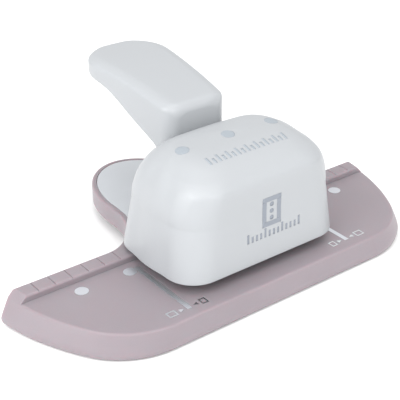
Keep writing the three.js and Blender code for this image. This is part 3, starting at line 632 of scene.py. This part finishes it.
def head_solid(start, inset, levels):
    """The head's skin, moved in by inset, from height start up to its crown."""
    h = HEAD
    rings = []
    for z, tuck in levels:
        t = (z - start) / (h["shoulder_z"] - start)
        rings.append(head_ring(
            z,
            h["half"] - h["side_draft"] * t - inset - tuck,
            h["front"] + h["front_draft"] * t + inset + tuck,
            h["rear"] - h["rear_draft"] * t - inset - tuck,
            h["corner"] + h["corner_growth"] * t - inset * CORNER_INSET - tuck * CORNER_TUCK,
            h["bow"],
        ))
    depth = h["rear"] - h["rear_draft"] - h["rear_in"] - h["front"] - h["front_draft"] - h["front_in"]
    widest = h["corner"] + h["corner_growth"] - inset * CORNER_INSET
    for i in range(1, ROOF_STEPS + 1):
        angle = math.pi / 2 * i / ROOF_STEPS
        c = 1 - math.cos(angle)
        rings.append(head_ring(
            h["shoulder_z"] + (h["rise"] - inset) * math.sin(angle),
            h["half"] - h["side_draft"] - (h["side"] - inset) * c - inset,
            h["front"] + h["front_draft"] + (h["front_in"] - inset) * roof_run(c) + inset,
            h["rear"] - h["rear_draft"] - (h["rear_in"] - inset) * c - inset,
            widest + (h["crown_corner"] * depth - widest) * c ** 2,
            h["bow"] * (1 - 0.5 * c),
        ))
    edge = rings[-1]
    middle = (edge[0][1] + max(p[1] for p in edge)) / 2
    for share in CROWN_SHARES:
        lift = h["dome"] * (1 - share * share) ** 2
        rings.append([(x * share, middle + (y - middle) * share, z + lift) for x, y, z in edge])
    return loft("head", softened(rings, len(levels) + round(EVEN_FROM * ROOF_STEPS), EVEN_PASSES))


def head_cover():
    top = HEAD["shoulder_z"]
    wall = [(HEAD_BOTTOM_Z + rise, tuck) for rise, tuck in HEAD_HEM]
    start = wall[-1][0]
    wall += [(start + (top - start) * i / 7, 0) for i in range(1, 8)]
    cover = head_solid(HEAD_BOTTOM_Z, 0, wall)
    start = HEAD_BOTTOM_Z - 1
    combine(cover, head_solid(start, HEAD_WALL, [(start + (top - start) * i / 4, 0) for i in range(5)]))

    boss, foot = HEAD_BOSS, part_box("punch_spring_centre")[0].z / MM
    for x in (SCREW_XS[0], SCREW_XS[-1]):
        combine(cover, disc(x, SCREW_Y, boss["r"], foot, boss["top"]), "UNION")
        x0, x1, back = x - boss["rib_half"], x + boss["rib_half"], HEAD["rear"] - HEAD_WALL + 0.5
        combine(cover, box(x0, x1, SCREW_Y, back, foot, boss["top"] - boss["rib_drop"]), "UNION")
        combine(cover, disc(x, SCREW_Y, SCREW_HOLE_R, foot - 1, boss["top"] - boss["hole_drop"]))

    half, low, high, r = (HEAD_SLOT[key] for key in ("half", "bottom", "top", "corner"))
    slot = []
    for x, z, start in ((half, low, -90), (half, high, 0), (-half, high, 90), (-half, low, 180)):
        centre = (math.copysign(half - r, x), z + (r if z == low else -r))
        slot += arc(*centre, r, math.radians(start), math.radians(start + 90), 6)
    return combine(cover, prism(slot, HEAD_SLOT["front"], HEAD_SLOT["back"], "y"))


head = head_cover()
head_tree = BVHTree.FromPolygons([v.co for v in head.data.vertices], [p.vertices for p in head.data.polygons])
settle(head, "head_cover_skin", COVER_PLASTIC, "base", ["head_cover"])

# ---------------------------------------------------------------------------------------------------------
# Lever handle
# ---------------------------------------------------------------------------------------------------------


def handle_top(y):
    run = y - HANDLE_FRONT_Y
    return HANDLE_TOP["z"] + HANDLE_TOP["slope"] * run - HANDLE_TOP["fall"] * run * run


def along(table, y):
    """Straight interpolation in a table of (y, value)."""
    for (y0, v0), (y1, v1) in zip(table, table[1:]):
        if y <= y1:
            return v0 + (v1 - v0) * (y - y0) / (y1 - y0)
    return table[-1][1]


def rounding(into, radius):
    """How much a corner of this radius takes off, at a distance into it."""
    return radius - math.sqrt(max(0, radius ** 2 - max(0, into) ** 2))


def handle_section(y, half, low, high):
    """One cross-section: each upper edge turns softly, then tightly, into the side.

    The lower edges are just broken, and every edge shrinks where the section is narrow or low.
    """
    half = max(0.15, half)
    soft_run = (SOFT_EDGE_R - TIGHT_EDGE_R) * math.cos(EDGE_TURN)
    scale = min(1, half * 0.9 / (soft_run + TIGHT_EDGE_R), (high - low) * 0.4 / TIGHT_EDGE_R)
    soft, tight = SOFT_EDGE_R * scale, TIGHT_EDGE_R * scale
    low_r = max(0.03, min(LOWER_EDGE_R, half * 0.3, (high - low) * 0.2))
    tight_x, tight_z = half - tight, high - soft + (soft - tight) * math.sin(EDGE_TURN)
    soft_x = tight_x - (soft - tight) * math.cos(EDGE_TURN)
    ring = arc(half - low_r, low + low_r, low_r, -math.pi / 2, 0, 3)
    side = tight_z - low - low_r
    ring += [(half, low + low_r + side * t) for t in (0.25, 0.5, 0.75)]
    ring += arc(tight_x, tight_z, tight, 0, EDGE_TURN, 6)
    ring += arc(soft_x, high - soft, soft, EDGE_TURN, math.pi / 2, 5)[1:]
    ring += [(soft_x * t, high) for t in (0.66, 0.33, 0)]
    left = [(-a, b) for a, b in reversed(ring[:-1])]
    return [(a, y, b) for a, b in ring + left]


def handle_half(y):
    grown = (HANDLE_BACK_HALF - HANDLE_FRONT_HALF) * (y - HANDLE_FRONT_Y) / (HANDLE_TURN_Y - HANDLE_FRONT_Y)
    return HANDLE_FRONT_HALF + grown - rounding(FRONT_CORNER_R - (y - HANDLE_FRONT_Y), FRONT_CORNER_R)


def handle_end(inset, steps):
    """The rounded rear end of the handle, seen from above, from its widest place to its tip."""
    half, back = HANDLE_BACK_HALF - inset, HANDLE_BACK_Y - inset
    swell = (half + END_BEND["swell"], END_BEND["y"] - inset)
    return bezier((half, HANDLE_TURN_Y), swell, (END_BEND["flat_half"], back), (0, back), steps)


def handle_plan(inset):
    """The handle seen from above."""
    front, half = HANDLE_FRONT_Y + inset, HANDLE_FRONT_HALF - inset
    corner = FRONT_CORNER_R - inset
    right = [(0, front)] + arc(half - corner, front + corner, corner, -math.pi / 2, 0, 8)
    right += handle_end(inset, 20)
    return right + [(-x, y) for x, y in reversed(right[1:-1])]


def turned(obj):
    """Swings and shifts a piece of the handle aside by the play of its pivot."""
    place = Matrix.Translation((0, PIVOT_Y, 0))
    shift = Matrix.Translation((SIDE_SHIFT, 0, 0))
    obj.data.transform(shift @ place @ Matrix.Rotation(-SIDE_PLAY, 4, "Z") @ place.inverted())
    return obj


def handle_slice(y, low, lift=0):
    """A cross-section ahead of the rear end. The rounding of the front edge also lifts the foot a little."""
    cut = rounding(FRONT_ROUND - (y - HANDLE_FRONT_Y), FRONT_ROUND)
    return handle_section(y, handle_half(y), low + lift * cut, handle_top(y) - cut)


def lever_handle():
    foot_y, foot_z = UNDERSIDE[0]
    rings = []
    for step in range(10):
        y = HANDLE_FRONT_Y + (foot_y - HANDLE_FRONT_Y) * (1 - math.cos(math.radians(10 * step)))
        rings.append(handle_slice(y, foot_z, FOOT_LIFT))
    y = foot_y
    while y < HANDLE_TURN_Y:
        rings.append(handle_slice(y, along(UNDERSIDE, y)))
        y += LIMB_STEP if y < LIMB_BACK_Y else HANDLE_STEP
    for half, y in handle_end(0, 26):
        droop = rounding(y - (HANDLE_BACK_Y - HANDLE_END_R), HANDLE_END_R)
        rings.append(handle_section(y, half, along(UNDERSIDE, y), handle_top(y) - END_DROOP * droop))
    handle = turned(loft("handle", rings))
    whole = handle.copy()
    whole.data = handle.data.copy()
    bpy.context.scene.collection.objects.link(whole)

    # Each tool reaches past the handle on both sides
    hollow = prism(HANDLE_HOLLOW, -20, 20, "x")
    combine(handle, turned(combine(hollow, prism(handle_plan(HANDLE_WALL), 20, 70), "INTERSECT")))
    window, rib = TONGUE_WINDOW, HANDLE_RIB
    half = window["half"]
    combine(handle, box(-half, half, window["front"], window["back"], window["low"], window["high"]))
    half = rib["half"]
    wall = box(-half, half, rib["front"], rib["back"], rib["low"], rib["high"])
    return combine(handle, combine(wall, whole, "INTERSECT"), "UNION")


handle = lever_handle()
settle(handle, "lever_handle_skin", COVER_PLASTIC, "lever", ["lever_handle"], crease=40)

# ---------------------------------------------------------------------------------------------------------
# Foil and printed marks
# ---------------------------------------------------------------------------------------------------------


def bed_mark(name, outline, material=FOIL):
    """A thin piece of foil laid on the paper bed."""
    settle(prism(outline, BED_Z - MARK_SUNK, BED_Z + MARK_PROUD), name, material, "base")


def printed(name, outlines, aim, material):
    """Ink on the head: flat outlines are cut into a grid, dropped on the skin, and given a thickness."""
    way = Vector((0, 0, -1)) if aim == "down" else Vector((0, 1, 0))
    bm = bmesh.new()
    for outline in outlines:
        bm.faces.new([bm.verts.new((a, b, 0)) for a, b in outline])
    for axis in (0, 1):
        values = [v.co[axis] for v in bm.verts]
        across = Vector((1 - axis, axis, 0))
        for k in range(math.floor(min(values)), math.ceil(max(values)) + 1):
            everything = bm.verts[:] + bm.edges[:] + bm.faces[:]
            bmesh.ops.bisect_plane(bm, geom=everything, plane_co=k * across, plane_no=across)
    for vert in bm.verts:
        a, b = vert.co.x, vert.co.y
        start = Vector((a, b, INK_START)) if aim == "down" else Vector((a, -INK_START, b))
        vert.co = head_tree.ray_cast(start, way)[0] - way * MARK_PROUD
    mesh = bpy.data.meshes.new(name)
    bm.to_mesh(mesh)
    bm.free()
    piece = bpy.data.objects.new(name, mesh)
    bpy.context.scene.collection.objects.link(piece)
    sheet = piece.modifiers.new("thickness", "SOLIDIFY")
    sheet.thickness = 2 * MARK_PROUD * MM
    sheet.offset = 0
    settle(piece, name, material, "base")


def page(x, y, wide, high, line):
    """A page pictogram: four thin sides."""
    x0, x1, y0, y1 = x - wide / 2, x + wide / 2, y - high / 2, y + high / 2
    return [
        oblong(x0, x1, y0, y0 + line), oblong(x0, x1, y1 - line, y1),
        oblong(x0, x0 + line, y0 + line, y1 - line), oblong(x1 - line, x1, y0 + line, y1 - line),
    ]


for side, label in ((-1, "left"), (1, "right")):
    for count in (2, 3):
        bed_mark(f"foil_spot_{label}_{count}", circle(side * count * HOLE_PITCH, 0, SPOT_R, 28))
    x = side * LINE_X
    bed_mark(f"foil_line_{label}", oblong(x - LINE_HALF, x + LINE_HALF, LINE_FRONT_Y, LINE_BACK_Y))
    for way, place in ((side, "outer"), (-side, "inner")):
        tip = x + way * LABEL["from_line"]
        tail = tip + way * LABEL["arrow"]
        arrow = [(tip, LABEL_Y), (tail, LABEL_Y - LABEL["arrow_half"]), (tail, LABEL_Y + LABEL["arrow_half"])]
        bed_mark(f"foil_arrow_{label}_{place}", arrow, LABEL_FOIL)
        middle = tail + way * (LABEL["from_arrow"] + LABEL[place] / 2)
        for n, outline in enumerate(page(middle, LABEL_Y, LABEL[place], LABEL["high"], LABEL["line"])):
            bed_mark(f"foil_page_{label}_{place}_{n}", outline, LABEL_FOIL)

for count, label in ((-1, "left"), (0, "centre"), (1, "right")):
    spot = circle(count * HOLE_PITCH, HEAD_SPOT_Y, HEAD_SPOT_R, 28)
    printed(f"head_spot_{label}", [spot], "down", HEAD_INK)
ticks = []
for x in range(-HEAD_SCALE["half"], HEAD_SCALE["half"] + 1, HEAD_SCALE["pitch"]):
    reach = HEAD_SCALE["tall"] if x % (2 * HEAD_SCALE["pitch"]) == 0 else HEAD_SCALE["short"]
    low, half = HEAD_SCALE["low"], HEAD_SCALE["wide"] / 2
    ticks.append(oblong(x - half, x + half, low, low + reach))
printed("head_scale", ticks, "down", HEAD_INK)
emblem = page(EMBLEM["x"], EMBLEM["z"], EMBLEM["wide"], EMBLEM["high"], EMBLEM["line"])
for k in (-1, 0, 1):
    emblem.append(circle(EMBLEM["x"], EMBLEM["z"] + k * EMBLEM["pitch"], EMBLEM["dot"], 20))
printed("head_page_emblem", emblem, "back", EMBLEM_INK)
rule = []
for k in range(RULE["count"]):
    x = RULE["first"] + k * RULE["pitch"]
    reach = RULE["tall"] if k % 4 == 0 else RULE["short"]
    rule.append(oblong(x - RULE["wide"] / 2, x + RULE["wide"] / 2, RULE["low"], RULE["low"] + reach))
printed("head_rule", rule, "back", EMBLEM_INK)

# ---------------------------------------------------------------------------------------------------------
# Finishes of the CAD pieces that stay as they are
# ---------------------------------------------------------------------------------------------------------

FINISHES = {
    STEEL: (
        "die_plate", "pivot_pin", "pivot_clip_left", "pivot_clip_right", "head_screw_left",
        "head_screw_right", "frame_screw_left", "frame_screw_right", "die_screw_left", "die_screw_right",
        "handle_screw_front", "handle_screw_rear", "punch_left", "punch_centre", "punch_right",
    ),
    ZINC: ("punch_frame", "press_bar", "lever_arm"),
    SPRING_WIRE: ("punch_spring_left", "punch_spring_centre", "punch_spring_right"),
    RUBBER: FEET,
    LID_PLASTIC: ("chip_lid",),
}
for material, names in FINISHES.items():
    for name in names:
        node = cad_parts[name]
        node.data.materials.clear()
        node.data.materials.append(material)

# ---------------------------------------------------------------------------------------------------------
# Floor, light and camera
# ---------------------------------------------------------------------------------------------------------

FLOOR_HALF = 3
FLOOR_COLOUR = (0.94, 0.94, 0.94, 1)
WORLD_STRENGTH = 0.81
TARGET = Vector((0.0022, -0.0034, 0.0175))

# Square lights that face the target: azimuth and elevation in degrees, distance and size in metres, power
SOFTBOXES = {
    "left_low_softbox": (-90, 20, 1.5, 1.2, 7.6),
    "left_softbox": (-66, 50, 1.5, 1.2, 9.5),
    "right_low_softbox": (-2, 20, 1.5, 1.2, 4.2),
    "right_softbox": (10, 50, 1.5, 1.2, 3.5),
    "top_softbox": (60, 84, 1.5, 1.2, 4.8),
    "left_lamp": (-78, 42, 1.2, 0.3, 1.2),
    "right_lamp": (-12, 42, 1.2, 0.3, 1),
}
CAMERA = {"azimuth": -37.461, "elevation": 28.871, "distance": 0.372, "lens": 91.98, "sensor": 36}


def direction(azimuth, elevation):
    """The way out from the object, for angles in degrees; azimuth 0 is the front."""
    a, e = math.radians(azimuth), math.radians(elevation)
    return Vector((math.sin(a) * math.cos(e), -math.cos(a) * math.cos(e), math.sin(e)))


def aimed(name, data, azimuth, elevation, distance):
    """A lamp or camera that looks at the target."""
    obj = bpy.data.objects.new(name, data)
    way = direction(azimuth, elevation)
    obj.location = TARGET + way * distance
    obj.rotation_mode = "QUATERNION"
    obj.rotation_quaternion = way.to_track_quat("Z", "Y")
    bpy.context.scene.collection.objects.link(obj)
    return obj


floor_corners = [(x, y, 0) for x, y in oblong(-FLOOR_HALF, FLOOR_HALF, -FLOOR_HALF, FLOOR_HALF)]
floor = make("floor", floor_corners, [(0, 1, 2, 3)])
floor_material = bpy.data.materials.new("floor")
floor_material.use_nodes = True
floor_inputs = floor_material.node_tree.nodes["Principled BSDF"].inputs
floor_inputs["Base Color"].default_value = FLOOR_COLOUR
floor_inputs["Roughness"].default_value = 0.9
floor_inputs["Specular IOR Level"].default_value = 0.0
floor.data.materials.append(floor_material)

world = bpy.data.worlds.new("studio")
bpy.context.scene.world = world
world.use_nodes = True
world.node_tree.nodes["Background"].inputs["Color"].default_value = (1, 1, 1, 1)
world.node_tree.nodes["Background"].inputs["Strength"].default_value = WORLD_STRENGTH

for name, (azimuth, elevation, distance, size, power) in SOFTBOXES.items():
    lamp = bpy.data.lights.new(name, "AREA")
    lamp.size = size
    lamp.energy = power
    aimed(name, lamp, azimuth, elevation, distance)

camera_data = bpy.data.cameras.new("camera")
camera_data.lens = CAMERA["lens"]
camera_data.sensor_width = CAMERA["sensor"]
camera_data.clip_start = 0.01
camera = aimed("camera", camera_data, CAMERA["azimuth"], CAMERA["elevation"], CAMERA["distance"])
bpy.context.scene.camera = camera
bpy.context.scene.view_settings.view_transform = "Standard"
